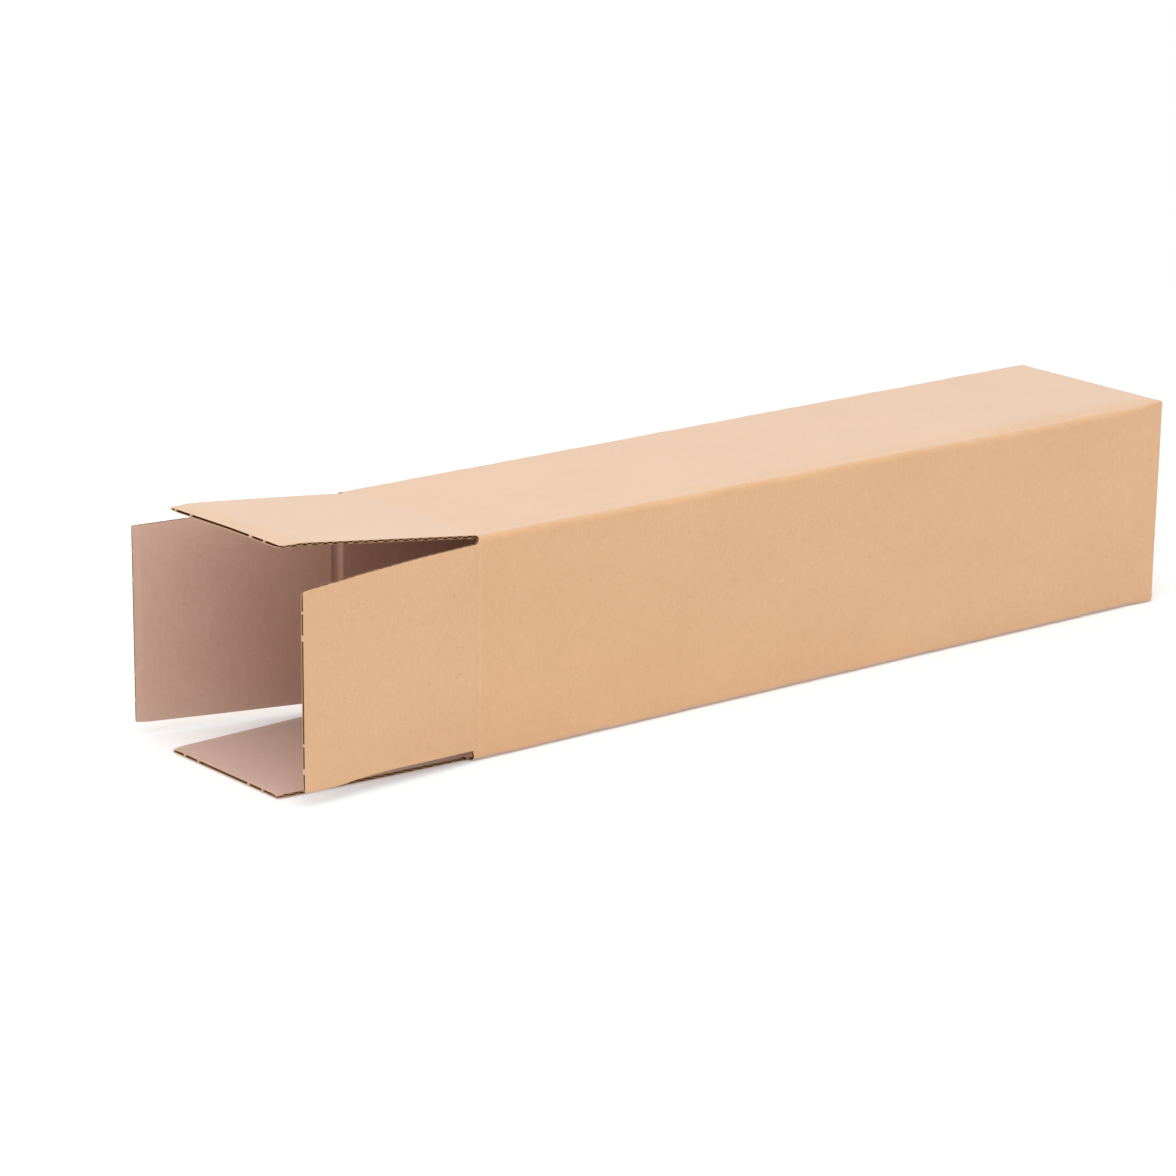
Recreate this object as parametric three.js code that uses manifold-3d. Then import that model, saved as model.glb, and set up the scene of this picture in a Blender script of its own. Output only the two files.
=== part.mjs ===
// A square mailing tube of corrugated board, lying on one side with its four flaps open at one end.
// Millimetres. +X runs along the tube from the open end to the closed one, +Z is up,
// and the origin is on the underside, midway along the tube and midway across it.
import * as THREE from 'three';
import { mergeVertices } from 'three/addons/utils/BufferGeometryUtils.js';
import Module from 'manifold-3d';

// Board and tube
const BOARD = 2; // thickness of the corrugated board
const SIDE = 109; // outside width and height of the tube
const BODY_LENGTH = 455; // outermost crease of the open end to the outer face of the closed end
const FOLD_RADIUS = 3.5; // outside radius of the three long folds in one piece
const INNER_FOLD_RADIUS = 1.5; // inside radius of the same folds
const SEAM_FOLD_RADIUS = 1.5; // outside radius of the fold that carries the glue lap
const END_FOLD_RADIUS = 2.4; // outside radius of the folds at the closed end
const ARC_STEPS = 8; // straight lengths in each quarter round

// Glue lap, which runs up inside the rear panel
const LAP_WIDTH = 30;
const LAP_END_CLEARANCE = 5; // between the lap's ends and the innermost flaps
const LAP_END_TAPER = 8; // how much shorter the lap's free edge is at each end
const GLUED_OVERLAP = 0.05; // glued faces share this much so that the two become one solid

// Flaps. A side clearance is from a flap's side edge to the inside of the next panel.
const TIP_CLEARANCE = 0.4; // between a closed flap's tip and the panel across from it
const WIDE_ROOT_CLEARANCE = 2.3; // side clearance of the front and rear flaps at the crease
const WIDE_TIP_CLEARANCE = 5; // the same at the tip
const NARROW_ROOT_CLEARANCE = 7.5; // side clearance of the top and bottom flaps at the crease
const NARROW_TIP_CLEARANCE = 11.2; // the same at the tip
const CORNER_CUT_LENGTH = 8; // cut corner of a flap, measured along its side edge
const CORNER_CUT_DEPTH = 1.5; // cut corner of a flap, measured along its tip
const HINGE_GAP = 0.4; // between a panel's end and its flap when the two are in line
const LAYER_GAP = 0.3; // between open-end flaps folded in one over another

const OVERRUN = 5; // how far a cutting shape reaches past what it cuts
const KRAFT = 0xdfb289; // plain brown board

// Each side of the tube is drawn as the bottom one and turned about the tube's middle line.
// openLayer and closedLayer count the flaps that close over this one at each end of the tube.
// openDegrees is how far its flap at the open end stands outwards from the panel.
const SIDES = {
  bottom: { turn: 0, narrow: true, openLayer: 1, closedLayer: 2, openDegrees: 0 },
  rear: { turn: Math.PI / 2, narrow: false, openLayer: 0, closedLayer: 3, openDegrees: 12 },
  top: { turn: Math.PI, narrow: true, openLayer: 3, closedLayer: 0, openDegrees: 6.4 },
  front: { turn: -Math.PI / 2, narrow: false, openLayer: 2, closedLayer: 1, openDegrees: 5 },
};
const sides = Object.values(SIDES);

const flapLength = SIDE - BOARD - TIP_CLEARANCE;
const openLayerStep = BOARD + LAYER_GAP;
const openEnd = -BODY_LENGTH / 2;
const closedEnd = BODY_LENGTH / 2;
const cutterWidth = SIDE + 2 * OVERRUN;
const foldDepth = Math.max(FOLD_RADIUS, BOARD);

const ALONG_X = new THREE.Vector3(1, 0, 0);
const ALONG_Y = new THREE.Vector3(0, 1, 0);
const ALONG_Z = new THREE.Vector3(0, 0, 1);
const BACK_X = new THREE.Vector3(-1, 0, 0);
const BACK_Y = new THREE.Vector3(0, -1, 0);

const wasm = await Module();
wasm.setup();

function toSolid(geometry) {
  const bare = geometry.clone();
  bare.deleteAttribute('normal');
  bare.deleteAttribute('uv');
  const merged = mergeVertices(bare, 1e-5);
  const vertProperties = Float32Array.from(merged.attributes.position.array);
  const triVerts = Uint32Array.from(merged.index.array);
  return new wasm.Manifold(new wasm.Mesh({ numProp: 3, vertProperties, triVerts }));
}

function toGeometry(solid) {
  const { vertProperties, triVerts } = solid.getMesh();
  const corners = new THREE.BufferAttribute(Float32Array.from(vertProperties), 3);
  const geometry = new THREE.BufferGeometry().setAttribute('position', corners);
  geometry.setIndex(new THREE.BufferAttribute(Uint32Array.from(triVerts), 1));
  return geometry;
}

function shapeFrom(points) {
  return new THREE.Shape(points.map(([x, y]) => new THREE.Vector2(x, y)));
}

// A prism whose drawing's axes lie along first and second, and its depth along third.
function prism(shape, depth, first, second, third) {
  const settings = { depth, bevelEnabled: false, curveSegments: ARC_STEPS };
  const geometry = new THREE.ExtrudeGeometry(shape, settings);
  return geometry.applyMatrix4(new THREE.Matrix4().makeBasis(first, second, third));
}

// Turns a shape drawn for the bottom side, with z from the tube's middle line, to another side.
function turnedTo(side, geometry) {
  return geometry.rotateX(side.turn).translate(0, 0, SIDE / 2);
}

// A bar of that width across one side, from a profile of x and depth below the side's outer face.
function acrossSide(side, profile, width) {
  const bar = prism(profile, width, ALONG_X, ALONG_Z, BACK_Y);
  return toSolid(turnedTo(side, bar.translate(0, width / 2, -SIDE / 2)));
}

function openCrease(side) {
  return openEnd + side.openLayer * openLayerStep;
}

function closedCrease(side) {
  return closedEnd - side.closedLayer * BOARD;
}

// Half the width of a flap at its crease and at its tip.
function flapHalfWidths(side) {
  const rootClearance = side.narrow ? NARROW_ROOT_CLEARANCE : WIDE_ROOT_CLEARANCE;
  const tipClearance = side.narrow ? NARROW_TIP_CLEARANCE : WIDE_TIP_CLEARANCE;
  return [rootClearance, tipClearance].map((clearance) => SIDE / 2 - BOARD - clearance);
}

// Outline of a flap: x from its crease to its tip, y across it.
function flapOutline(side) {
  const [rootHalf, tipHalf] = flapHalfWidths(side);
  const cutStart = flapLength - CORNER_CUT_LENGTH;
  const cutHalf = rootHalf + ((tipHalf - rootHalf) * cutStart) / flapLength;
  const cornerHalf = tipHalf - CORNER_CUT_DEPTH;
  return shapeFrom([
    [0, -rootHalf],
    [cutStart, -cutHalf],
    [flapLength, -cornerHalf],
    [flapLength, cornerHalf],
    [cutStart, cutHalf],
    [0, rootHalf],
  ]);
}

// The tube's square section, as y and z. The rear panel's raw edge stands beside the seam's fold.
function tubeSection() {
  const half = SIDE / 2;
  const near = half - FOLD_RADIUS;
  const high = SIDE - FOLD_RADIUS;
  const seam = half - BOARD - SEAM_FOLD_RADIUS;
  const outer = new THREE.Shape();
  outer.moveTo(half, SEAM_FOLD_RADIUS);
  outer.lineTo(half, high);
  outer.absarc(near, high, FOLD_RADIUS, 0, Math.PI / 2);
  outer.absarc(-near, high, FOLD_RADIUS, Math.PI / 2, Math.PI);
  outer.absarc(-near, FOLD_RADIUS, FOLD_RADIUS, Math.PI, 1.5 * Math.PI);
  outer.absarc(seam, SEAM_FOLD_RADIUS, SEAM_FOLD_RADIUS, 1.5 * Math.PI, 2 * Math.PI);
  const inside = new THREE.Path();
  inside.moveTo(half - BOARD, BOARD);
  inside.lineTo(half - BOARD, high);
  inside.absarc(near, high, INNER_FOLD_RADIUS, 0, Math.PI / 2);
  inside.absarc(-near, high, INNER_FOLD_RADIUS, Math.PI / 2, Math.PI);
  inside.absarc(-near, FOLD_RADIUS, INNER_FOLD_RADIUS, Math.PI, 1.5 * Math.PI);
  outer.holes.push(inside);
  return outer;
}

function tubeWalls() {
  const walls = prism(tubeSection(), BODY_LENGTH, ALONG_Y, ALONG_Z, ALONG_X);
  return toSolid(walls.translate(openEnd, 0, 0));
}

// Cuts a panel back to its crease at the open end, with a 45 degree end that lets the flap fold in.
function openEndCutter(side) {
  const start = openCrease(side) + HINGE_GAP / 2;
  const profile = shapeFrom([
    [openEnd - OVERRUN, -OVERRUN],
    [start, -OVERRUN],
    [start, 0],
    [start + BOARD, BOARD],
    [start + BOARD, foldDepth],
    [openEnd - OVERRUN, foldDepth],
  ]);
  return acrossSide(side, profile, cutterWidth);
}

// Cuts a panel back to its fold at the closed end.
function closedEndCutter(side) {
  const start = closedCrease(side);
  const profile = shapeFrom([
    [start, -OVERRUN],
    [closedEnd + OVERRUN, -OVERRUN],
    [closedEnd + OVERRUN, foldDepth],
    [start, foldDepth],
  ]);
  return acrossSide(side, profile, cutterWidth);
}

// One flap of the closed end, folded in over the mouth and glued to the flap under it.
function closedEndFlap(side) {
  const leaf = prism(flapOutline(side), BOARD, ALONG_Z, BACK_Y, ALONG_X);
  return toSolid(turnedTo(side, leaf.translate(closedCrease(side) - BOARD, 0, -SIDE / 2)));
}

// Rounds the outside of a closed-end fold.
function closedEndRounding(side) {
  const crease = closedCrease(side);
  const middle = crease - END_FOLD_RADIUS;
  const profile = new THREE.Shape();
  profile.moveTo(middle, 0);
  profile.lineTo(middle, -OVERRUN);
  profile.lineTo(crease + OVERRUN, -OVERRUN);
  profile.lineTo(crease + OVERRUN, END_FOLD_RADIUS);
  profile.lineTo(crease, END_FOLD_RADIUS);
  profile.absarc(middle, END_FOLD_RADIUS, END_FOLD_RADIUS, 0, -Math.PI / 2, true);
  const [rootHalf] = flapHalfWidths(side);
  return acrossSide(side, profile, 2 * rootHalf + HINGE_GAP);
}

// The lap that makes the blank a tube, turned up from the bottom panel and glued to the rear one.
function glueLap() {
  const start = Math.max(...sides.map(openCrease)) + BOARD + LAP_END_CLEARANCE;
  const end = Math.min(...sides.map(closedCrease)) - BOARD - LAP_END_CLEARANCE;
  const outline = shapeFrom([
    [start, BOARD / 2],
    [end, BOARD / 2],
    [end, BOARD],
    [end - LAP_END_TAPER, LAP_WIDTH],
    [start + LAP_END_TAPER, LAP_WIDTH],
    [start, BOARD],
  ]);
  const lap = prism(outline, BOARD + GLUED_OVERLAP, ALONG_X, ALONG_Z, BACK_Y);
  return toSolid(lap.translate(0, SIDE / 2 - BOARD + GLUED_OVERLAP, 0));
}

function boardMesh(name, geometry) {
  const settings = { name: `${name}_board`, color: KRAFT, roughness: 0.92, metalness: 0 };
  const mesh = new THREE.Mesh(geometry, new THREE.MeshStandardMaterial(settings));
  mesh.name = name;
  return mesh;
}

function tubeBody() {
  let body = tubeWalls();
  for (const side of sides) {
    body = body.subtract(openEndCutter(side)).subtract(closedEndCutter(side));
  }
  for (const side of sides) {
    body = body.add(closedEndFlap(side));
  }
  for (const side of sides) {
    body = body.subtract(closedEndRounding(side));
  }
  return boardMesh('tube_body', toGeometry(body.add(glueLap())));
}

// A flap in its own frame: the crease on the outer face is the y axis, and the flap runs along -x.
function flapGeometry(side) {
  const leaf = toSolid(prism(flapOutline(side), BOARD, BACK_X, BACK_Y, ALONG_Z));
  const start = -HINGE_GAP / 2;
  const root = shapeFrom([
    [start, -OVERRUN],
    [OVERRUN, -OVERRUN],
    [OVERRUN, BOARD + OVERRUN],
    [start - BOARD - OVERRUN, BOARD + OVERRUN],
    [start, 0],
  ]);
  const wedge = prism(root, SIDE, ALONG_X, ALONG_Z, BACK_Y).translate(0, SIDE / 2, 0);
  return toGeometry(leaf.subtract(toSolid(wedge)));
}

// A flap hung on its crease and opened by its own angle.
function hingedFlap(name, side) {
  const hinge = new THREE.Group();
  hinge.position.set(openCrease(side), 0, -SIDE / 2);
  hinge.rotation.y = THREE.MathUtils.degToRad(-side.openDegrees);
  hinge.add(boardMesh(name, flapGeometry(side)));
  const sideFrame = new THREE.Group();
  sideFrame.position.z = SIDE / 2;
  sideFrame.rotation.x = side.turn;
  sideFrame.add(hinge);
  return sideFrame;
}

const tube = new THREE.Group();
tube.add(tubeBody());
for (const [name, side] of Object.entries(SIDES)) {
  tube.add(hingedFlap(`${name}_flap`, side));
}

export default tube;
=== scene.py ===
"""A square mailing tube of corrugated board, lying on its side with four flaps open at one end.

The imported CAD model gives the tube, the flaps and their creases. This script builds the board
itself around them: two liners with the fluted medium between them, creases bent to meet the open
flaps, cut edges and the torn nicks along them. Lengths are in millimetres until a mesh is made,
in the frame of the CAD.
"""

import math

import bmesh
import bpy
import numpy as np
from mathutils import Matrix, Vector


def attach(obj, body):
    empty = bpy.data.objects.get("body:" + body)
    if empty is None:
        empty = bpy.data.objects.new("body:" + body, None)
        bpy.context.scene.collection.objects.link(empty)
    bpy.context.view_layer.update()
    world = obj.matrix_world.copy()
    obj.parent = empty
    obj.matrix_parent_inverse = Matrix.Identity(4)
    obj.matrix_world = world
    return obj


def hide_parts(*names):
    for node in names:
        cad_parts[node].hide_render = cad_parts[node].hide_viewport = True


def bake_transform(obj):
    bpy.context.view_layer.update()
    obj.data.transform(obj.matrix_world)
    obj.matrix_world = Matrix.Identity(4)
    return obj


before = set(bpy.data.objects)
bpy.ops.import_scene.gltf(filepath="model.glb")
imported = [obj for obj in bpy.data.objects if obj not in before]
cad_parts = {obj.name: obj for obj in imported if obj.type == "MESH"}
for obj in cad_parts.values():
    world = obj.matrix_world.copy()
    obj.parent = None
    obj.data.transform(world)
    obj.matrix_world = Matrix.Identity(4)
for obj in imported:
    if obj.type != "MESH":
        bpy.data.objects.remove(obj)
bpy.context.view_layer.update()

MM = 0.001

# ---- The tube and its flaps, as in the CAD source

SIDE = 109.0
HALF = SIDE / 2
BOARD = 2.0
OPEN_END = -227.5
CLOSED_END = 227.5
OPEN_LAYER_STEP = 2.3
FLAP_LENGTH = 106.6
FOLD_RADIUS = 3.5
SEAM_FOLD_RADIUS = 1.5
END_FOLD_RADIUS = 2.4
LAP_TOP = 30.0
LAP_START = -213.6
LAP_END = 214.5
LAP_TAPER = 8.0

# Each side's place around the tube, its turn, whether its closed-end flap is narrow, how many
# flaps close over its own at each end, and how many degrees its open one stands open
SIDES = {
    "rear": dict(order=0, turn=90, narrow=False, open_layer=0, closed_layer=3, opening=12.0),
    "top": dict(order=1, turn=180, narrow=True, open_layer=3, closed_layer=0, opening=6.4),
    "front": dict(order=2, turn=-90, narrow=False, open_layer=2, closed_layer=1, opening=5.0),
    "bottom": dict(order=3, turn=0, narrow=True, open_layer=1, closed_layer=2, opening=0.0),
}
AROUND = list(SIDES.values())
AROUND_NAMES = list(SIDES)
FRONT_ORDER = SIDES["front"]["order"]
SEAM_ORDER = SIDES["bottom"]["order"]  # the side whose far fold carries the glue lap

# ---- The board

LINER = 0.26
MEDIUM = 0.26
FLUTE_PITCH = 5.4
FLUTE_ROWS = 10  # rows of faces along each flute
FLUTE_BITE = 0.02  # how far the medium reaches into the backs of the liners
FLUTE_INSET = 0.12  # how far it stays inside a cut edge
SKIN = 0.05  # how far the outer face lies inside the CAD surface
GLUE = 0.04  # gap between boards that are glued face to face
EDGE_DROP = 0.3  # how much thinner the board is along a cut tip
SIDE_DROP = 0.3  # the same along a flap's side edges
CORNER_DROP = 0.6  # and how much more so at the tip's corners
TIP_REACH, SIDE_REACH, CORNER_REACH = 4.0, 3.0, 2.5  # how far in from the edge each of them goes

# ---- The flaps' creases and the flaps

CREASE = 0.6  # half the width of the strip that bends at a flap's crease
CREASE_DEPTH = 0.4  # thickness of the crushed board in that strip
CREASE_DISH = 0.08  # how much thinner it is in the middle
CHANNEL = 3.4  # from a crease to where the inside of the board is full depth again
MEDIUM_START = 3.0  # from a crease to where the medium starts
LEAST_DEPTH = 0.2  # of the hidden back of the inner liner, where the board is crushed
RIDGE, RIDGE_WIDTH = -0.3, 0.55  # where the outer face swells, from a crease towards its flap
GROOVE, GROOVE_WIDTH = 1.5, 0.8  # where it is pressed in
GROOVE_DEPTH = 0.11
RUB_AND_HIGHLIGHT_WIDTH = 1.0  # of the pale line on the ridge, rubbed and with a painted highlight
SHADE, SHADE_WIDTH, SHADE_STRENGTH = 2.0, 0.9, 0.75  # the painted shade along the groove
NICK_REACH = 0.25  # how far a torn nick stands out of a cut edge
TIP_SLIT = 1.5  # how far behind a cut tip the medium shows
TWIST = 1.0  # how far the rear side of the top flap's tip bends inwards
TWIST_WIDTH = 48.0  # from the flap's middle to where that is full
CURL = 1.3  # how far its whole tip bends inwards
CURL_START, CURL_END = 94.0, 106.0  # from its crease to where the tip starts and ends bending
BOTTOM_BEND = 0.28  # how far the bottom flap's tip bends inwards
BOTTOM_TIP = 105.0  # from its crease to its tip
SIDE_BEND = 0.1  # how far the front and rear flaps bend inwards
SHARES = np.array(
    [0, 0.008, 0.025, 0.06, *np.linspace(0.1, 0.9, 13), 0.94, 0.975, 0.992, 1]
)  # places across a flap
ROOT_REACH, ROOT_ROWS = 10, 26  # the rows of a flap over its crease's relief
FLAP_ROWS = (12, 18, 23, 30, 37, 44, 52, 60, 68, 76, 84, 90)  # the next ones, from the crease
TIP_ROWS = np.array([10, 8, 6.2, 5, 4, 3.2, 2.4, 1.7, 1.1, 0.5, 0])  # the last ones, from its tip

# A flap's side edges: distance from the crease and inset from the side of the tube
CLOSED_NARROW_EDGE = (
    *((0, 4.9), (1, 5.6), (2.5, 7.2), (4.5, 8.7), (7, 9.5), (10, 9.9)),
    *((98.6, 12.9), (106.6, 14.7)),
)
CLOSED_WIDE_EDGE = ((0, 3.9), (2.5, 4.15), (7, 4.45), (10, 4.6), (98.6, 6.8), (106.6, 8.5))
FRONT_LOW_EDGE = (
    *((0, 2.75), (0.5, 3.0), (2, 3.35), (25, 3.35), (37, 3.5), (73, 4.5), (80, 5.0)),
    *((104.4, 6.0), (105.7, 6.2), (106.4, 6.8)),
)
FRONT_HIGH_EDGE = (
    *((0, 5.8), (23, 6.6), (50, 7.7), (62, 8.1), (76, 7.8), (84, 7.3), (98, 7.4)),
    (106.4, 8.3),
)
OPEN_EDGES = {
    "rear": (
        ((0, 4.4), (60, 5.6), (98, 6.5), (104.8, 7.0)),
        ((0, 3.8), (77, 4.5), (104.8, 5.2)),
    ),
    "top": (
        ((0, 7.9), (6, 8.3), (97, 7.9), (106.4, 6.9)),
        ((0, 3.5), (50, 6.9), (97, 10.3), (106.4, 12.3)),
    ),
    "front": (FRONT_LOW_EDGE, FRONT_HIGH_EDGE),
    "bottom": (
        ((0, 4.6), (6, 5.4), (44, 7.4), (98, 10.7), (105, 11.7)),
        ((0, 4.6), (6, 5.4), (98, 10.2), (105, 11.0)),
    ),
}

# The rows of a torn nick: distance past the tip, and how ragged its tip, top and underside are
NICK_ROWS = np.array(
    [(-0.9, 0.1, 0, 0), (-0.3, 0.1, 0, 0), (0, 0.2, 1, 1), (NICK_REACH, NICK_REACH, 3, 4)]
)
NICK_COLUMNS = 5
TIP_TORN, TOP_TORN, UNDER_TORN = 0.5, 0.12, 0.15  # the most that is torn off a ragged one
NICK_TOP = SKIN * 0.4  # depth of its top

# Torn nicks along the tips of the open flaps: place across the flap and half width
NICKS = {
    "top": ((-42.6, 0.5), (-29.9, 0.5), (18.8, 0.9), (29.8, 0.6)),
    "front": ((-38.5, 0.5), (-26.6, 1.3), (24.0, 0.6), (36.5, 1.2)),
    "rear": ((-36.5, 0.6), (-24.0, 0.5), (23.0, 0.7), (37.0, 0.5)),
    "bottom": ((-31.0, 0.5), (-19.5, 0.7), (22.0, 0.5), (33.5, 0.6)),
}

# ---- The tube's folds, panels and ends

FLAT = HALF - FOLD_RADIUS  # half the width of a panel's flat part
ARC = SIDE - 2 * FLAT  # room that a long fold takes on the blank between two flat parts
SEAM_ARC = BOARD  # the same for the fold that carries the glue lap
FOLD_STEPS = 8  # straight lengths around a long fold
FOLD_WANDER, FOLD_PACE = 0.25, 1.9  # how far the long folds swell and shrink, and how often
FOLD_SHADE_AND_WEAR, FOLD_SHADE_PACE = 0.5, 2.3  # how dark painted shade and wear make them, how much that varies, how often
FOLD_SHADE_SEED = 4
BOW = 0.16  # how far the panels have sunk between their folds
BOW_WANDER, BOW_PACE = 0.06, 0.5  # how much that varies, and how often
BOW_POWER = 1.5  # how much of it is in the middle of a panel
BOW_START, BOW_RISE = 12.0, 50.0  # from the tube's ends to where that starts, and its rise
# Rows of the tube at its open end; the closed end has them but for the second one
END_ROWS = (0, 0.2, 0.45, 0.7, 1, 1.3, 1.6, 1.9, 2.2, 2.5, 2.8, 3.2, 4, 6, 9, 12)
MIDDLE_ROWS = 110  # rows of the tube between those at its two ends
BESIDE = 0.02  # from the corner of a flap's crease to the next column of the tube
TINY = 1e-6  # difference between places that should be the same

# Where the open end's corner slots end: beside the side before and beside the side after
SLOT_ENDS = ((-227.7, -226.4), (-221.9, -223.8), (-226.4, -226.0))
SLOT_ROUND = 1.0  # how far they are rounded out
SLOT_SETBACK = 0.5

# The medium that shows along the rear panel's raw edge
SEAM_WIDTH = 2  # how far onto the panel it goes
SEAM_START, SEAM_STOP = 1.2, 2  # from the open end, and from the panel's closed-end crease

# The medium that shows in the corner slots
SLOT_REACH = (0.25, 12)  # how far behind a slot's edge it starts and ends
SLOT_MARGIN, SLOT_COLUMNS = 0.1, 17  # from the sides of the slot, and points across it

# Points of the glue lap: heights between its fold and its top, and rows along it
LAP_HEIGHTS, LAP_ROWS = (9, 16, 23), 60

# How far the fold between top and front has been knocked down: place along the tube and depth
DENTS = (
    *((-165, 0.0), (-145, 0.25), (-96, 0.28), (-84, 0.7), (-71, 0.45), (-58, 0.4), (-45, 0.5)),
    *((-33, 0.85), (-20, 1.0), (-6, 0.5), (7, 0.3), (33, 0.65), (60, 0.5), (88, 0.85)),
    *((102, 1.25), (116, 1.65), (158, 1.75), (173, 1.3), (187, 1.45), (202, 1.65)),
    *((216, 1.0), (224, 0.0)),
)
DENT_REACH = 13.0  # how far from the middle of the fold the board is bent by that

# The closed end
END_SHARP_RADIUS = 1.3  # outside radius of the outer liner's folds
END_BULGE = 1.5  # how far the front panel's crease stands out at its top
BULGE_REACH = 2.2  # how far down the end its flap leans back into its plane
END_POINT = 1.0  # how far the front panel's long folds come to a point
POINT_START, POINT_LENGTH = 205.0, 20.0  # where along the tube they do
POINT_POWER = 4  # how sharp the point is
END_SETBACK = 0.5  # from the creases to the ends of the corner slots
END_HOLLOW = 0.2  # how much further back the slots' ends are in the middle
SEAM_SETBACK = 0.8  # the same setback beside the glue lap
END_ACROSS = 25  # points across a flap
END_FLAP_ROWS = (0.5, 1.2, 2.2, 3.6, 5.5, 8, 12, 22, 34, 46, 58, 70, 82, 92)  # past the fold
END_CORNER = 8  # length of the tip's cut corners
END_MEDIUM_START, END_MEDIUM_STOP = 0.5, 0.1  # how far past the fold and short of the tip
BEND_ROWS = 9  # rows of points over a bend

OUTER, INNER, FLUTES, CUT, CRUSHED = range(5)  # material slots of every piece of board
SHARP_ANGLE = 35  # degrees between faces that aren't shaded as one


def smooth(t):
    """Eases from 0 to 1 as t does."""
    t = np.clip(t, 0.0, 1.0)
    return t * t * (3 - 2 * t)


def hump(t, middle, width):
    """A smooth hump of height 1."""
    return np.exp(-(((t - middle) / width) ** 2))


def wander(t, seed):
    """A slow wandering line between about -1 and 1."""
    waves = ((0.11, 1.7), (0.047, 4.1), (0.23, 0.6))  # the pace of each and its shift
    return sum(np.sin(np.asarray(t) * f + p * (seed + 1)) for f, p in waves) / len(waves)


def half_width(side, u):
    """Half the width of a closed-end flap at distance u from its crease."""
    edge = np.array(CLOSED_NARROW_EDGE if side["narrow"] else CLOSED_WIDE_EDGE)
    return HALF - np.interp(u, edge[:, 0], edge[:, 1])


def flap_sides(name, u):
    """Where across its panel an open flap's two side edges are at distance u from its crease."""
    low, high = (np.array(edge) for edge in OPEN_EDGES[name])
    return np.interp(u, low[:, 0], low[:, 1]) - HALF, HALF - np.interp(u, high[:, 0], high[:, 1])


def flap_tip(name):
    """Distance from an open flap's crease to its cut tip, under the torn nicks."""
    return OPEN_EDGES[name][0][-1][0] - NICK_REACH


def flap_across(name, u, inset=0.0):
    """Places across an open flap in rows at distances u from its crease."""
    low, high = flap_sides(name, u)
    return low + inset + (high - low - 2 * inset) * SHARES


def open_crease(side):
    return OPEN_END + side["open_layer"] * OPEN_LAYER_STEP


def closed_crease(side):
    return CLOSED_END - side["closed_layer"] * BOARD


def end_bulge(side, v):
    """How far a closed-end crease stands out past its flap at a place across the panel."""
    return END_BULGE * smooth(0.5 - v / SIDE) if side["order"] == FRONT_ORDER else 0 * v


def placed(side, x, y, z):
    """Points of a side's own frame, with z the depth under its outer face, in the row frame."""
    turn = Matrix.Rotation(math.radians(side["turn"]), 4, "X")
    lowered = Matrix.Translation((0, 0, -HALF))
    m = np.array(lowered.inverted() @ turn @ lowered)
    points = np.stack(np.broadcast_arrays(x, y, z), axis=-1).astype(float)
    return points @ m[:3, :3].T + m[:3, 3]


def hinge_turned(side, x, depth, share):
    """Turns points x from a side's crease outwards by a share of its flap's opening."""
    angle = math.radians(side["opening"]) * share
    cos, sin = np.cos(angle), np.sin(angle)
    return x * cos - depth * sin, x * sin + depth * cos


def on_blank(along, around):
    """Where on the flat blank points lie, as the textures read it."""
    return np.stack(np.broadcast_arrays(along, around, 0.0), axis=-1)


def on_panel(side, along, across):
    """The same for points given by how far across one side's panel they lie."""
    return on_blank(along, side["order"] * SIDE + across)


# ---- Sheets of board


class Sheets:
    """Closed sheets gathered into one mesh, each between two grids of points."""

    def __init__(self):
        self.verts, self.board, self.wear, self.faces, self.slots = [], [], [], [], []
        self.count = 0

    def add(self, near, far, board, slot, edge_slot=CUT, far_slot=FLUTES, wear=0.0):
        """near and far are grids of points of one shape, and board is their place on the blank."""
        side_slot = CRUSHED if slot == INNER else CUT
        rows, columns = near.shape[:2]
        size = rows * columns
        board = np.broadcast_to(board, near.shape).reshape(-1, 3)
        self.verts += [near.reshape(-1, 3), far.reshape(-1, 3)]
        self.board += [board, board]
        self.wear += [np.broadcast_to(wear, (rows, columns)).ravel()] * 2
        index = np.arange(size).reshape(rows, columns) + self.count
        corners = (index[:-1, :-1], index[1:, :-1], index[1:, 1:], index[:-1, 1:])
        top = np.stack(corners, axis=-1).reshape(-1, 4)
        self.faces += [top, top[:, ::-1] + size]
        self.slots += [slot] * len(top) + [far_slot] * len(top)
        ends = ((index[0, :], edge_slot), (index[-1, ::-1], edge_slot))
        sides = ((index[:, -1], side_slot), (index[::-1, 0], side_slot))
        for line, wall_slot in ends + sides:
            wall = np.stack([line[:-1], line[1:], line[1:] + size, line[:-1] + size], axis=-1)
            self.faces.append(wall)
            self.slots += [wall_slot] * len(wall)
        self.count += 2 * size

    def build(self, name, materials):
        mesh = bpy.data.meshes.new(name)
        verts = np.concatenate(self.verts) * MM
        mesh.from_pydata(verts.tolist(), [], np.concatenate(self.faces).tolist())
        for material in materials:
            mesh.materials.append(material)
        mesh.polygons.foreach_set("material_index", np.array(self.slots, np.int32))
        place = mesh.attributes.new("board", "FLOAT_VECTOR", "POINT")
        place.data.foreach_set("vector", np.concatenate(self.board).astype(np.float32).ravel())
        # the per-point tone shift: wear together with painted highlight and shade
        wear_and_shade_layer = mesh.attributes.new("wear", "FLOAT", "POINT")
        wear_and_shade_layer.data.foreach_set("value", np.concatenate(self.wear).astype(np.float32))
        work = bmesh.new()
        work.from_mesh(mesh)
        bmesh.ops.recalc_face_normals(work, faces=work.faces)
        work.to_mesh(mesh)
        work.free()
        mesh.polygons.foreach_set("use_smooth", np.ones(len(mesh.polygons), bool))
        mesh.set_sharp_from_angle(angle=math.radians(SHARP_ANGLE))
        obj = bpy.data.objects.new(name, mesh)
        bpy.context.scene.collection.objects.link(obj)
        return obj


def crease_relief(c):
    """Depth of the outer face near a flap's crease; c runs from the crease towards the flap."""
    pressed = GROOVE_DEPTH * hump(c, GROOVE, GROOVE_WIDTH)
    return SKIN + pressed - SKIN * hump(c, RIDGE, RIDGE_WIDTH)


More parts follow.
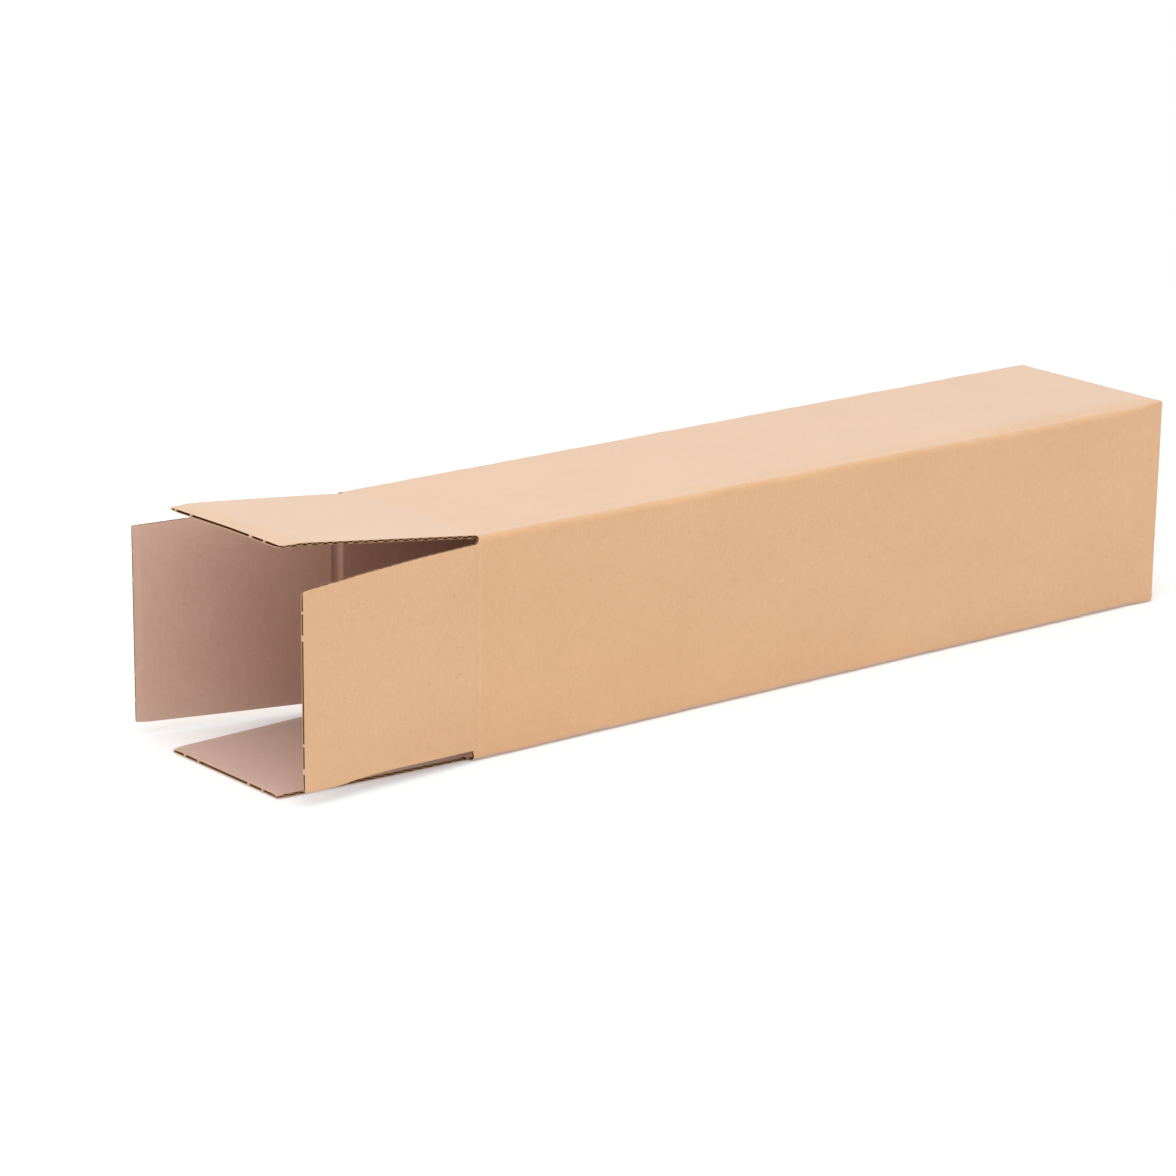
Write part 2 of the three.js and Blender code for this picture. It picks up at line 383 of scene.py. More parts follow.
def crease_wear(c):
    """Pale on a crease's ridge, rubbed and with a painted highlight, and painted shade in its
    groove.
    """
    return hump(c, RIDGE, RUB_AND_HIGHLIGHT_WIDTH) - SHADE_STRENGTH * hump(c, SHADE, SHADE_WIDTH)


def channel_depth(c):
    """Depth of the board's inner face at distance c from a crease."""
    return CREASE_DEPTH + (BOARD - CREASE_DEPTH) * smooth((c - CREASE) / (CHANNEL - CREASE))


def behind_inner(depth):
    """The hidden face of the inner liner where its inside face is that deep."""
    return np.maximum(depth - LINER, LEAST_DEPTH)


def flute_rows(start, end):
    steps = max(2, int(round((end - start) / FLUTE_PITCH * FLUTE_ROWS)))
    return np.linspace(start, end, steps + 1)[:, None]


def flute_faces(along, press=0.0):
    """Depths of the medium's faces at places along the blank, with the board pressed thinner."""
    reach = (BOARD - press - SKIN - 2 * LINER - MEDIUM) / 2 + FLUTE_BITE
    middle = (BOARD - press + SKIN) / 2 + reach * np.sin(2 * np.pi * along / FLUTE_PITCH)
    return middle - MEDIUM / 2, middle + MEDIUM / 2


# ---- Flaps of the open end


def flap_bend(name, u, v):
    """How far a flap's board bends inwards at distance u from its crease and place v across."""
    if name == "top":
        back = np.clip(-v / TWIST_WIDTH, 0, 1)
        curl = CURL * smooth((u - CURL_START) / (CURL_END - CURL_START))
        return TWIST * back * (u / CURL_END) ** 2 + curl
    if name == "bottom":
        return BOTTOM_BEND * (u / BOTTOM_TIP) ** 2
    return SIDE_BEND * smooth(u / FLAP_LENGTH) + 0 * v


def flap_points(name, side, u, v, depth):
    """Points of a flap, from distance along it, place across it, and depth."""
    x, z = hinge_turned(side, -u, depth + flap_bend(name, u, v), 1.0)
    return placed(side, open_crease(side) + x, v, z)


def flap_press(name, u, v):
    """How much thinner a flap's board is along its cut edges, and most at the tip's corners."""
    low, high = flap_sides(name, u)
    to_side = np.minimum(v - low, high - v)
    to_tip = flap_tip(name) - u
    corner = np.exp(-((to_tip / CORNER_REACH) ** 2) - (to_side / CORNER_REACH) ** 2)
    side = SIDE_DROP * smooth(1 - to_side / SIDE_REACH) * smooth((u - CHANNEL) / TIP_REACH)
    tip = EDGE_DROP * smooth((u - flap_tip(name) + TIP_REACH) / TIP_REACH)
    return np.maximum(tip, side) + CORNER_DROP * corner


def open_flap(name, side):
    sheets = Sheets()
    crease, tip = open_crease(side), flap_tip(name)
    root_rows = np.linspace(CREASE, ROOT_REACH, ROOT_ROWS)
    u = np.concatenate([root_rows, FLAP_ROWS, tip - TIP_ROWS])[:, None]
    v = flap_across(name, u)
    place = on_panel(side, crease - u, v)
    face = crease_relief(u) + 0 * v
    near = flap_points(name, side, u, v, face)
    far = flap_points(name, side, u, v, face + LINER)
    # the outer liner's tone at the crease: rubbing and a painted highlight on its ridge, painted
    # shade in its groove
    sheets.add(near, far, place, OUTER, wear=crease_wear(u))
    face = channel_depth(u) - flap_press(name, u, v)
    near = flap_points(name, side, u, v, face)
    sheets.add(near, flap_points(name, side, u, v, behind_inner(face)), place, INNER)
    u = flute_rows(MEDIUM_START, tip - TIP_SLIT)
    v = flap_across(name, u, FLUTE_INSET)
    upper, lower = flute_faces(crease - u, flap_press(name, u, v))
    near = flap_points(name, side, u, v, upper)
    far = flap_points(name, side, u, v, lower)
    sheets.add(near, far, on_panel(side, crease - u, v), FLUTES, FLUTES)
    for number, nick in enumerate(NICKS[name]):
        add_nick(sheets, name, side, nick, number)
    return sheets


def add_nick(sheets, name, side, nick, number):
    """A torn bridge of board that stands out of the flap's tip and laps onto its outer face."""
    rng = np.random.default_rng(100 * side["order"] + number)
    middle, half = nick
    past, ragged_tip, ragged_top, ragged_under = NICK_ROWS.T[:, :, None]
    u = flap_tip(name) + past
    across = middle + half * np.linspace(-1, 1, NICK_COLUMNS)[None, :]
    grid = (len(u), NICK_COLUMNS)
    torn = rng.uniform(-TIP_TORN, 0.0, grid) * ragged_tip
    upper = NICK_TOP + rng.uniform(0, TOP_TORN, grid) * ragged_top
    lower = BOARD - EDGE_DROP - SKIN - rng.uniform(0, UNDER_TORN, grid) * ragged_under
    place = on_panel(side, open_crease(side) - u, across)
    near = flap_points(name, side, u + torn, across, upper)
    far = flap_points(name, side, u + torn, across, lower)
    sheets.add(near, far, place, CUT, far_slot=CUT)


def crease_strip(name, side):
    """The narrow strip that bends between the tube and an open flap."""
    sheets = Sheets()
    c = np.linspace(-CREASE, CREASE, BEND_ROWS)[:, None]
    v = flap_across(name, 0 * c)
    turn = smooth((c + CREASE) / (2 * CREASE))
    grids = []
    for depth in (crease_relief(c), CREASE_DEPTH - CREASE_DISH * (1 - (c / CREASE) ** 2)):
        x, z = hinge_turned(side, -c, depth, turn)
        grids.append(placed(side, open_crease(side) + x, v, z))
    place = on_panel(side, open_crease(side) - c, v)
    # the strip's tone: rubbing and a painted highlight on the ridge, painted shade in the groove
    sheets.add(*grids, place, OUTER, far_slot=INNER, wear=crease_wear(c))
    return sheets


# ---- The tube: one board wrapped round four sides, from the rear's raw edge to the glue lap


def column(s):
    """The side that a place around the tube belongs to, and how far across it that is."""
    order = int(np.clip((s + FLAT) // SIDE, 0, len(AROUND) - 1))
    return AROUND[order], s - order * SIDE


def fold_room(side):
    """Room on the blank of the long fold after a side."""
    return SEAM_ARC if side["order"] == SEAM_ORDER else ARC


def tube_points(x, around, depth):
    """Points of the wrapped board for grids of x and depth, at places around the tube."""
    points = np.zeros(np.broadcast_shapes(x.shape, depth.shape) + (3,))
    x = np.broadcast_to(x, points.shape[:2])
    depth = np.broadcast_to(depth, points.shape[:2])
    for j, s in enumerate(around):
        side, v = column(s)
        y, z = v, depth[:, j]
        if v > FLAT:
            radius = SEAM_FOLD_RADIUS if side["order"] == SEAM_ORDER else FOLD_RADIUS
            turned = (v - FLAT) / fold_room(side) * math.pi / 2
            radial = radius - depth[:, j] + fold_swell(x[:, j], side, turned)
            y = FLAT + radial * math.sin(turned)
            z = radius - radial * math.cos(turned)
        points[:, j] = placed(side, x[:, j], y, z)
    points[:, :, 2] -= fold_dent(x, around)
    return points


def fold_swell(x, side, turned):
    """How far a long fold swells or shrinks, and comes to a point at the closed end."""
    swell = FOLD_WANDER * wander(x * FOLD_PACE, side["order"]) * math.sin(2 * turned)
    if side["order"] in (FRONT_ORDER - 1, FRONT_ORDER):
        point = END_POINT * math.sin(2 * turned) ** POINT_POWER
        swell += point * smooth((x - POINT_START) / POINT_LENGTH)
    return swell


def fold_dent(x, around):
    """How far the fold between top and front, and the board beside it, are knocked down."""
    fold = AROUND_NAMES.index("top") * SIDE + HALF
    along, depth = np.array(DENTS).T
    return np.interp(x, along, depth) * smooth(1 - np.abs(np.array(around) - fold) / DENT_REACH)


def fold_shade_and_wear(x, around):
    """Painted shade and wear that darken the long folds, more here and less there."""
    fold_darkening = np.zeros(x.shape)
    for j, s in enumerate(around):
        side, v = column(s)
        share = np.clip((v - FLAT) / fold_room(side), 0.0, 1.0)
        fold_darkening[:, j] = max(0.0, math.sin(math.pi * share))
        varied = wander(x[:, j] * FOLD_SHADE_PACE, side["order"] + FOLD_SHADE_SEED)
        fold_darkening[:, j] *= FOLD_SHADE_AND_WEAR * varied - FOLD_SHADE_AND_WEAR
    return fold_darkening


def open_root(side):
    """How far an open flap's crease reaches to either side of its panel's middle."""
    return flap_sides(AROUND_NAMES[side["order"]], 0.0)


def closed_root(side):
    return -half_width(side, 0), half_width(side, 0)


def in_root(s, root):
    """The side whose flap starts at this place around the tube, or None at a corner slot."""
    for side in AROUND:
        low, high = root(side)
        if low - TINY <= s - side["order"] * SIDE <= high + TINY:
            return side
    return None


def beside_slot(s, root):
    """The sides before and after the slot at this place, and how far between their flaps it is."""
    side, v = column(s)
    before = side["order"] - (v < 0)
    if not 0 <= before < len(AROUND) - 1:
        return None
    low, high = AROUND[before], AROUND[before + 1]
    first = before * SIDE + root(low)[1]
    last = (before + 1) * SIDE + root(high)[0]
    return low, high, np.clip((s - first) / (last - first), 0, 1)


def tube_start(s):
    """Where along the tube its board begins at a place around it."""
    side = in_root(s, open_root)
    if side:
        return open_crease(side) + CREASE
    slot = beside_slot(s, open_root)
    if slot is None:
        return open_crease(column(s)[0]) + CREASE
    low, _, t = slot
    first, last = SLOT_ENDS[low["order"]]
    rounding = SLOT_ROUND * math.sqrt(max(0.0, 1 - (2 * t - 1) ** 2))
    return first + (last - first) * t + rounding - SLOT_SETBACK


def tube_end(s):
    """Where along the tube its board ends, or begins to fold over the closed end."""
    side = in_root(s, closed_root)
    if side:
        bulge = end_bulge(side, s - side["order"] * SIDE)
        return closed_crease(side) - END_FOLD_RADIUS + bulge
    slot = beside_slot(s, closed_root)
    if slot is None:
        return closed_crease(column(s)[0]) - SEAM_SETBACK
    low, high, t = slot
    first = closed_crease(low) + end_bulge(low, closed_root(low)[1])
    last = closed_crease(high) + end_bulge(high, closed_root(high)[0])
    return first + (last - first) * smooth(t) - END_SETBACK - END_HOLLOW * math.sin(math.pi * t)


def tube_columns():
    """Places around the tube, closest together at the folds and beside the flaps' creases."""
    places = [-FLAT - SEAM_ARC, -FLAT - SEAM_ARC / 2]
    for side in AROUND:
        low, high = open_root(side)
        inner = closed_root(side)[1]
        across = {-FLAT, FLAT, low - BESIDE, high + BESIDE}
        across |= {-inner - BESIDE, -inner, inner, inner + BESIDE}
        across |= set(low + (high - low) * SHARES)
        last = FOLD_STEPS + 1 if side["order"] == SEAM_ORDER else FOLD_STEPS
        across |= set(FLAT + fold_room(side) * (np.arange(1, last) / FOLD_STEPS))
        places += [side["order"] * SIDE + v for v in across]
    return np.array(sorted(places))


def tube_bow(x, around):
    """How far the panels have sunk inwards between their folds."""
    across = np.array([column(s)[1] for s in around])
    flat = np.clip(np.cos(np.pi * across / (2 * FLAT)), 0, 1) * (np.abs(across) < FLAT)
    order = np.array([column(s)[0]["order"] for s in around])
    ends = smooth((x - OPEN_END - BOW_START) / BOW_RISE)
    ends = ends * smooth((CLOSED_END - BOW_START - x) / BOW_RISE)
    return ends * flat**BOW_POWER * (BOW + BOW_WANDER * wander(x * BOW_PACE, order))


def tube_board():
    sheets = Sheets()
    around = tube_columns()
    start = np.array([tube_start(s) for s in around])
    end = np.array([tube_end(s) for s in around])
    head = np.array(END_ROWS)[:, None]
    tail = np.append(head[:1:-1], [[0.0]], axis=0)
    inner_start, inner_end = start + head[-1], end - tail[0]
    shares = np.linspace(0, 1, MIDDLE_ROWS + 2)[1:-1, None]
    middle = inner_start + (inner_end - inner_start) * shares
    x = np.concatenate([start + head, middle, end - tail])
    place = on_blank(x, around)
    bow = tube_bow(x, around)
    creased = [in_root(s, open_root) for s in around]
    crease = np.array([open_crease(side) if side else 0 for side in creased])
    is_creased = np.array([side is not None for side in creased])
    outer = np.where(is_creased, crease_relief(crease - x), SKIN) + bow
    # painted highlight and shade at the flaps' creases, and painted shade with wear along the long
    # folds
    wear = np.where(is_creased, crease_wear(crease - x), 0.0) + fold_shade_and_wear(x, around)
    far = tube_points(x, around, outer + LINER)
    sheets.add(tube_points(x, around, outer), far, place, OUTER, wear=wear)
    inner = np.where(is_creased, channel_depth(x - crease), BOARD) + bow
    near = tube_points(x, around, inner)
    sheets.add(near, tube_points(x, around, behind_inner(inner)), place, INNER)
    add_seam_flutes(sheets)
    for low, high in zip(AROUND, AROUND[1:]):
        add_slot_flutes(sheets, low, high)
    add_glue_lap(sheets)
    return sheets


def add_flutes(sheets, x, around):
    upper, lower = flute_faces(x)
    bow = tube_bow(x, around)
    near = tube_points(x, around, upper + bow)
    far = tube_points(x, around, lower + bow)
    sheets.add(near, far, on_blank(x, around), FLUTES, FLUTES)


def add_seam_flutes(sheets):
    """The medium that shows along the rear panel's raw edge."""
    around = np.array([-FLAT - SEAM_ARC + FLUTE_INSET, -FLAT + SEAM_WIDTH])
    x = flute_rows(OPEN_END + SEAM_START, closed_crease(SIDES["rear"]) - SEAM_STOP)
    add_flutes(sheets, x + 0 * around, around)


def add_slot_flutes(sheets, low, high):
    """The medium that shows in the corner slots between two sides at both ends of the tube."""
    reach = flute_rows(*SLOT_REACH)
    for root, edge, way in ((open_root, tube_start, 1), (closed_root, tube_end, -1)):
        first = low["order"] * SIDE + root(low)[1] + SLOT_MARGIN
        last = high["order"] * SIDE + root(high)[0] - SLOT_MARGIN
        around = np.linspace(first, last, SLOT_COLUMNS)
        x = np.array([edge(s) for s in around]) + way * reach
        add_flutes(sheets, x, around)


def add_glue_lap(sheets):
    """The lap that the bottom panel turns up inside the rear one."""
    rear = SIDES["rear"]
    seam = (SEAM_ORDER + 1) * SIDE - HALF
    z = np.array([SEAM_FOLD_RADIUS, BOARD, *LAP_HEIGHTS, LAP_TOP])
    taper = LAP_TAPER * np.clip((z - BOARD) / (LAP_TOP - BOARD), 0, 1)
    share = np.linspace(0, 1, LAP_ROWS)[:, None]
    x = LAP_START + taper + (LAP_END - LAP_START - 2 * taper) * share
    for low, high, slot in ((0, LINER, OUTER), (BOARD - GLUE, BOARD - LINER, INNER)):
        near = placed(rear, x, z - HALF, BOARD + GLUE + low)
        far = placed(rear, x, z - HALF, BOARD + GLUE + high)
        sheets.add(near, far, on_blank(x, seam + z), slot)
    z = np.array([BOARD, LAP_HEIGHTS[1], LAP_TOP - FLUTE_INSET])
    taper = LAP_TAPER * (z - BOARD) / (LAP_TOP - BOARD) + FLUTE_INSET
    share = (flute_rows(LAP_START, LAP_END) - LAP_START) / (LAP_END - LAP_START)
    x = LAP_START + taper + (LAP_END - LAP_START - 2 * taper) * share
    upper, lower = flute_faces(x)
    near = placed(rear, x, z - HALF, BOARD + GLUE / 2 + upper)
    far = placed(rear, x, z - HALF, BOARD + GLUE / 2 + lower)
    sheets.add(near, far, on_blank(x, seam + z), FLUTES, FLUTES)


# ---- The closed end's flaps


def end_points(side, path, share, depth, radius, inset=0.0):
    """Points of a closed-end flap; path is 0 where the fold starts and goes on down the end."""
    bent = radius * math.pi / 2
    turned = np.clip(path / radius, 0, math.pi / 2)
    radial = radius - depth
    down = np.maximum(path - bent, 0)
    x = closed_crease(side) - radius + radial * np.sin(turned) + np.minimum(path, 0)
    z = radius - radial * np.cos(turned) + down
    outer_z = radius * (1 - np.cos(turned)) + down
    v = (half_width(side, outer_z) - inset) * share
    x = x + end_bulge(side, v) * hump(down, 0, BULGE_REACH)
    return placed(side, x, v, z)


def end_flap(side):
    sheets = Sheets()
    share = np.linspace(-1, 1, END_ACROSS)[None, :]
    for low, high, radius, slot in (
        (SKIN, SKIN + LINER, END_SHARP_RADIUS, OUTER),
        (BOARD, BOARD - LINER, END_FOLD_RADIUS, INNER),
    ):
        bent = radius * math.pi / 2
        length = FLAP_LENGTH - radius
        start = radius - END_FOLD_RADIUS - TINY
        rows = bent + np.array([*END_FLAP_ROWS, length - END_CORNER, length])
        path = np.concatenate([[start], np.linspace(0, bent, BEND_ROWS), rows])[:, None]
        along = closed_crease(side) - radius + path
        place = on_panel(side, along, half_width(side, path) * share)
        near = end_points(side, path, share, low + 0 * share, radius)
        far = end_points(side, path, share, high + 0 * share, radius)
        sheets.add(near, far, place, slot)
    radius = END_FOLD_RADIUS
    bent = radius * math.pi / 2
    tip = FLAP_LENGTH - radius + bent
    path = flute_rows(bent + END_MEDIUM_START, tip - END_MEDIUM_STOP)
    along = closed_crease(side) - radius + path
    upper, lower = flute_faces(along)
    near = end_points(side, path, share, upper + 0 * share, radius, FLUTE_INSET)
    far = end_points(side, path, share, lower + 0 * share, radius, FLUTE_INSET)
    sheets.add(near, far, on_panel(side, along, half_width(side, path) * share), FLUTES, FLUTES)
    return sheets


# ---- Materials

# The paper's layers of tone: detail per millimetre along and around the blank with a third
# number to set layers apart, octaves, roughness of the noise, and how far it shifts the tone
TONES = {
    "clouds": ((0.016, 0.022, 1), 2, 0.55, 0.8),
    "blotches": ((0.13, 0.17, 1), 3, 0.6, 0.5),
    "streaks": ((0.5, 0.16, 2), 3, 0.55, 0.7),
    "fibres": ((1.1, 1.6, 1), 3, 0.6, 0.35),
    "grain": ((3.6, 4.5, 1), 2, 0.55, 0.2),
}
DARK_TONE, LIGHT_TONE = (0.93, 0.9, 0.86), (1.07, 1.1, 1.14)  # shares of the paper's colour
WEAR_AND_SHADE_TONE = 0.28  # how far full wear and painted shade shift the tone

# Its short fibres and flecks: detail, limits of the noise, amount, and share of the colour
DARK_FLECK, LIGHT_FLECK = (0.7, 0.6, 0.5), (1.2, 1.28, 1.4)
FLECKS = (
    ((0.75, 0.28, 1), (0.66, 0.72), 0.32, LIGHT_FLECK),
    ((0.3, 0.8, 2), (0.66, 0.72), 0.32, LIGHT_FLECK),
    ((0.7, 0.3, 3), (0.67, 0.73), 0.34, DARK_FLECK),
    ((0.3, 0.75, 4), (0.67, 0.73), 0.34, DARK_FLECK),
    ((1.2, 1.2, 5), (0.7, 0.76), 0.5, DARK_FLECK),
    ((1.1, 1.1, 6), (0.7, 0.76), 0.45, LIGHT_FLECK),
)
PATCH_SCALE = (0.06, 0.08)  # detail of the patches that they gather in
PATCH_LIMITS, PATCH_SHARES = (0.38, 0.62), (0.35, 1.0)  # limits of the noise, and amounts

RELIEF = {"fibres": 0.012, "grain": 0.006}  # height of two of the layers in millimetres
BLOTCH_LIMITS, GLOSS_SPREAD = (0.3, 0.7), 0.05  # how far blotches change the roughness
SMOOTH_SPECULAR, TORN_SPECULAR = 0.5, 0.1
SHEEN_ROUGHNESS = 0.5


def node(tree, kind, inputs=None, **settings):
    """A shader node with its settings made and its inputs set or linked."""
    made = tree.nodes.new("ShaderNode" + kind)
    for key, value in settings.items():
        setattr(made, key, value)
    for key, value in (inputs or {}).items():
        if isinstance(value, bpy.types.NodeSocket):
            tree.links.new(value, made.inputs[key])
        else:
            made.inputs[key].default_value = value
    return made


def maths(tree, operation, a, b=0.0):
    return node(tree, "Math", {0: a, 1: b}, operation=operation).outputs[0]


def noise(tree, place, scale, detail, roughness=0.55):
    """Noise between 0 and 1 over the blank."""
    stretched = node(tree, "Mapping", {"Vector": place, "Scale": scale}).outputs[0]
    inputs = {"Vector": stretched, "Scale": 1.0, "Detail": detail, "Roughness": roughness}
    return node(tree, "TexNoise", inputs).outputs["Fac"]


def ranged(tree, value, low, high, to_low=0.0, to_high=1.0):
    limits = {"From Min": low, "From Max": high, "To Min": to_low, "To Max": to_high}
    return node(tree, "MapRange", {"Value": value, **limits}).outputs[0]


def mixed(tree, factor, a, b):
    """One colour mixed with another by a factor."""
    mix = node(tree, "Mix", {"Factor": factor}, data_type="RGBA")
    for socket, value in ((mix.inputs[6], a), (mix.inputs[7], b)):
        if isinstance(value, bpy.types.NodeSocket):
            tree.links.new(value, socket)
        else:
            socket.default_value = (*value, 1.0)
    return mix.outputs[2]


def scaled(colour, by):
    return tuple(min(1.0, c * b) for c, b in zip(colour, by))


def flecked(tree, body, place, scale, limits, amount, colour):
    """Scatters short fibres of another colour over the paper, more here and fewer there."""
    fibre = ranged(tree, noise(tree, place, scale, 1), *limits)
    patch = noise(tree, place, (*PATCH_SCALE, 1 + scale[0]), 2)
    patch = ranged(tree, patch, *PATCH_LIMITS, *PATCH_SHARES)
    factor = maths(tree, "MULTIPLY", maths(tree, "MULTIPLY", fibre, patch), amount)
    return mixed(tree, factor, body, colour)


def paper(name, colour, mottle=1.0, ripple_and_painted_shade=0.006, roughness=0.47, fuzz=0.0, haze=0.7):
    """Kraft paper: cloudy tone, short fibres and flecks, and a faint ripple over the flutes, with
    its light and shade painted into the tone as stripes.
    """
    material = bpy.data.materials.new(name)
    material.use_nodes = True
    tree = material.node_tree
    tree.nodes.clear()
    place = node(tree, "Attribute", attribute_name="board").outputs["Vector"]
    layers = {
        key: noise(tree, place, scale, octaves, rough)
        for key, (scale, octaves, rough, _) in TONES.items()
    }
    wave = node(tree, "SeparateXYZ", {0: place}).outputs[0]
    wave = maths(tree, "SINE", maths(tree, "MULTIPLY", wave, 2 * math.pi / FLUTE_PITCH))
    # painted light and shade: lighter and darker stripes along the flutes, as the ripple would be
    # lit
    tone = maths(tree, "MULTIPLY", wave, ripple_and_painted_shade)
    for key, (_, _, _, amount) in TONES.items():
        shift = maths(tree, "SUBTRACT", layers[key], 0.5)
        tone = maths(tree, "ADD", tone, maths(tree, "MULTIPLY", shift, amount * mottle))
    # wear together with the painted highlight and shade of the creases and folds
    wear = node(tree, "Attribute", attribute_name="wear").outputs["Fac"]
    tone = maths(tree, "ADD", tone, maths(tree, "MULTIPLY", wear, WEAR_AND_SHADE_TONE))
    tone = maths(tree, "ADD", tone, 0.5)
    body = mixed(tree, tone, scaled(colour, DARK_TONE), scaled(colour, LIGHT_TONE))
    for scale, limits, amount, share in FLECKS:
        body = flecked(tree, body, place, scale, limits, amount, scaled(colour, share))
    height = maths(tree, "MULTIPLY", wave, ripple_and_painted_shade)
    for key, amount in RELIEF.items():
        part = maths(tree, "MULTIPLY", layers[key], amount + fuzz)
        height = maths(tree, "ADD", height, part)
    bump = node(tree, "Bump", {"Height": height, "Strength": 1.0, "Distance": MM}).outputs[0]
    spread = (roughness - GLOSS_SPREAD, roughness + GLOSS_SPREAD)
    rough = ranged(tree, layers["blotches"], *BLOTCH_LIMITS, *spread)
    inputs = {"Base Color": body, "Roughness": rough, "Normal": bump}
    shader = node(tree, "BsdfPrincipled", inputs)
    specular = SMOOTH_SPECULAR if haze else TORN_SPECULAR
    shader.inputs["Specular IOR Level"].default_value = specular
    shader.inputs["Sheen Weight"].default_value = haze
    shader.inputs["Sheen Roughness"].default_value = SHEEN_ROUGHNESS
    output = node(tree, "OutputMaterial")
    tree.links.new(shader.outputs[0], output.inputs["Surface"])
    return material


KRAFT = (0.733, 0.415, 0.198)
# The inner liner: greyer than the outer one as its own colour, and bluer partly as a painted
# reflection of cool light
INNER_KRAFT = (0.66, 0.42, 0.32)
FLUTE_KRAFT = scaled(KRAFT, (0.5, 0.43, 0.38))
CUT_KRAFT = scaled(KRAFT, (1.0, 1.05, 1.2))
CRUSHED_KRAFT = scaled(KRAFT, (0.5, 0.5, 0.55))
MATERIALS = [
    paper("kraft_outer_liner", KRAFT),
    paper("kraft_inner_liner", INNER_KRAFT, mottle=1.2, ripple_and_painted_shade=0.01),
    paper("kraft_flutes", FLUTE_KRAFT, ripple_and_painted_shade=0.0, roughness=0.9, haze=0.0),
    paper("kraft_cut_edge", CUT_KRAFT, ripple_and_painted_shade=0.0, roughness=0.9, fuzz=0.02),
    paper("kraft_crushed_edge", CRUSHED_KRAFT, ripple_and_painted_shade=0.0, roughness=0.9, haze=0.0),
]


# ---- Pieces

tube = tube_board().build("tube_board", MATERIALS)
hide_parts("tube_body")
pieces = [(tube, "tube")]
for name, side in SIDES.items():
    pieces.append((end_flap(side).build(f"end_flap_{name}", MATERIALS), "tube"))
    flap = open_flap(name, side).build(f"{name}_flap_board", MATERIALS)
    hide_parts(f"{name}_flap")
    pieces.append((flap, f"{name}_flap"))
for piece, body in pieces:
    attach(piece, body)
for name, side in SIDES.items():
    strip = crease_strip(name, side).build(f"{name}_crease_board", MATERIALS)
    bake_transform(strip)


# ---- Camera, light and floor, in metres

IMAGE_SIZE = 1176  # pixels along each side of the image
FOCAL_LENGTH = 4362.52  # in those pixels
SENSOR_WIDTH = 36.0
CAMERA_PLACE = (-1.3988, -1.6072, 0.6422)
CAMERA_RIGHT = (0.782557, -0.622538, 0.007074)
CAMERA_DOWN = (-0.165982, -0.219570, -0.961374)
CAMERA_FORWARD = (0.600045, 0.751156, -0.275156)

# Each lamp's place and watts; both are discs that face the middle of the tube
LAMPS = {
    "overhead": ((-0.6, 0.4, 2.6), 13.5),
    "front_overhead": ((-0.8, -1.0, 2.4), 24.0),
}
LAMP_SIZE = 2.4
LAMP_TARGET = (0, 0, 0.05)
SKY_COLOUR, SKY_STRENGTH = (0.97, 0.985, 1.0, 1.0), 0.74

WHITE = (1.0, 1.0, 1.0, 1.0)
FLOOR_COLOUR = (0.9, 0.9, 0.9, 1.0)
FLOOR_LIFT = 0.2  # how much the floor is lightened where it is seen
FLOOR_REACH = 12.0
FLOOR_DROP = 0.0002  # how far it lies under the tube
FADE_START, FADE_END = 0.4, 1.1  # from the middle to where it fades to white


def look_matrix(place, right, down, forward):
    m = Matrix.Identity(4)
    for row in range(3):
        m[row][0], m[row][1], m[row][2] = right[row], -down[row], -forward[row]
        m[row][3] = place[row]
    return m


def add_camera():
    data = bpy.data.cameras.new("camera")
    data.sensor_width = SENSOR_WIDTH
    data.lens = FOCAL_LENGTH / IMAGE_SIZE * SENSOR_WIDTH
    data.clip_start, data.clip_end = 0.05, 50.0
    camera = bpy.data.objects.new("camera", data)
    camera.matrix_world = look_matrix(CAMERA_PLACE, CAMERA_RIGHT, CAMERA_DOWN, CAMERA_FORWARD)
    bpy.context.scene.collection.objects.link(camera)
    bpy.context.scene.camera = camera


def add_lamp(name, place, watts):
    data = bpy.data.lights.new(name, "AREA")
    data.shape = "DISK"
    data.size = LAMP_SIZE
    data.energy = watts
    data.color = WHITE[:3]
    lamp = bpy.data.objects.new(name, data)
    lamp.location = place
    direction = Vector(LAMP_TARGET) - Vector(place)
    lamp.rotation_euler = direction.to_track_quat("-Z", "Y").to_euler()
    bpy.context.scene.collection.objects.link(lamp)


def seen_rays(tree):
    """1 for the rays that show the background, and 0 for those that light the object."""
    path = node(tree, "LightPath")
    seen = maths(tree, "MAXIMUM", path.outputs["Is Camera Ray"], path.outputs["Is Glossy Ray"])
    return maths(tree, "MAXIMUM", seen, path.outputs["Is Transmission Ray"])


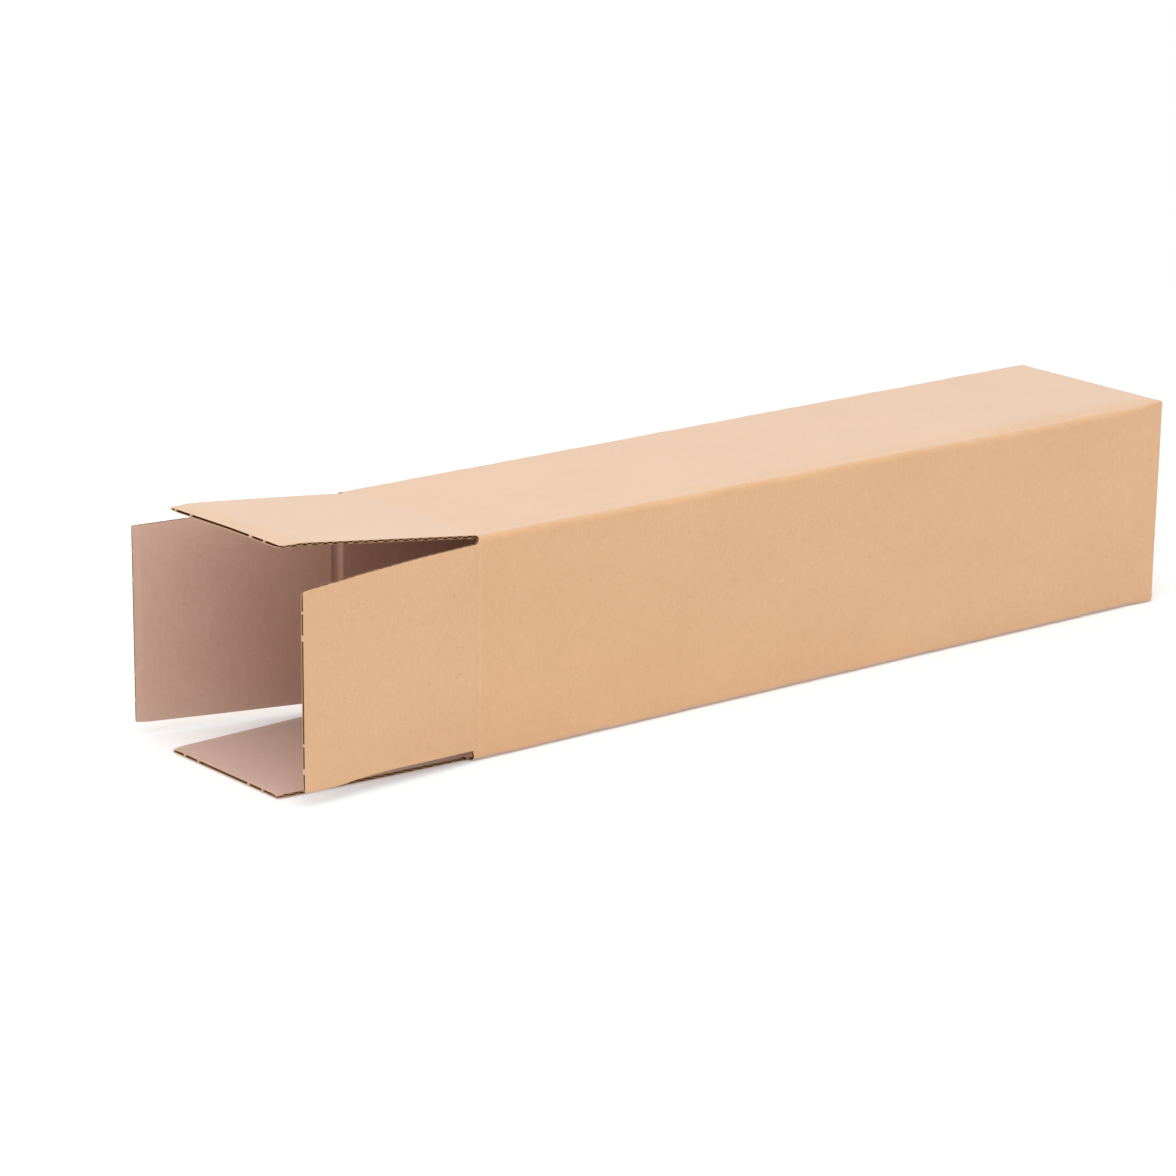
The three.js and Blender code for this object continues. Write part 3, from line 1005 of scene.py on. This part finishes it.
def add_floor():
    """A pale floor that keeps the tube's shadow and fades to the white of the background."""
    mesh = bpy.data.meshes.new("floor")
    signs = ((-1, -1), (1, -1), (1, 1), (-1, 1))
    corners = [(x * FLOOR_REACH, y * FLOOR_REACH, 0) for x, y in signs]
    mesh.from_pydata(corners, [], [(0, 1, 2, 3)])
    floor = bpy.data.objects.new("floor", mesh)
    floor.location.z = -FLOOR_DROP
    bpy.context.scene.collection.objects.link(floor)
    material = bpy.data.materials.new("floor")
    material.use_nodes = True
    tree = material.node_tree
    tree.nodes.clear()
    shade = node(tree, "BsdfDiffuse", {"Color": FLOOR_COLOUR})
    lift = node(tree, "Emission", {"Color": WHITE, "Strength": FLOOR_LIFT})
    lifted = node(tree, "AddShader", {0: shade.outputs[0], 1: lift.outputs[0]})
    white = node(tree, "Emission", {"Color": WHITE, "Strength": 1.0})
    place = node(tree, "TexCoord").outputs["Object"]
    distance = node(tree, "VectorMath", {0: place}, operation="LENGTH").outputs["Value"]
    far = ranged(tree, distance, FADE_START, FADE_END)
    backdrop = node(tree, "MixShader", {0: far, 1: lifted.outputs[0], 2: white.outputs[0]})
    seen = seen_rays(tree)
    mix = node(tree, "MixShader", {0: seen, 1: shade.outputs[0], 2: backdrop.outputs[0]})
    output = node(tree, "OutputMaterial")
    tree.links.new(mix.outputs[0], output.inputs["Surface"])
    mesh.materials.append(material)


def add_world():
    world = bpy.data.worlds.new("world")
    world.use_nodes = True
    tree = world.node_tree
    tree.nodes.clear()
    plain = node(tree, "Background", {"Color": SKY_COLOUR, "Strength": SKY_STRENGTH})
    white = node(tree, "Background", {"Color": WHITE, "Strength": 1.0})
    mix = node(tree, "MixShader", {0: seen_rays(tree), 1: plain.outputs[0], 2: white.outputs[0]})
    output = node(tree, "OutputWorld")
    tree.links.new(mix.outputs[0], output.inputs["Surface"])
    bpy.context.scene.world = world


add_camera()
for name, (place, watts) in LAMPS.items():
    add_lamp(name, place, watts)
add_floor()
add_world()
bpy.context.scene.view_settings.view_transform = "Standard"
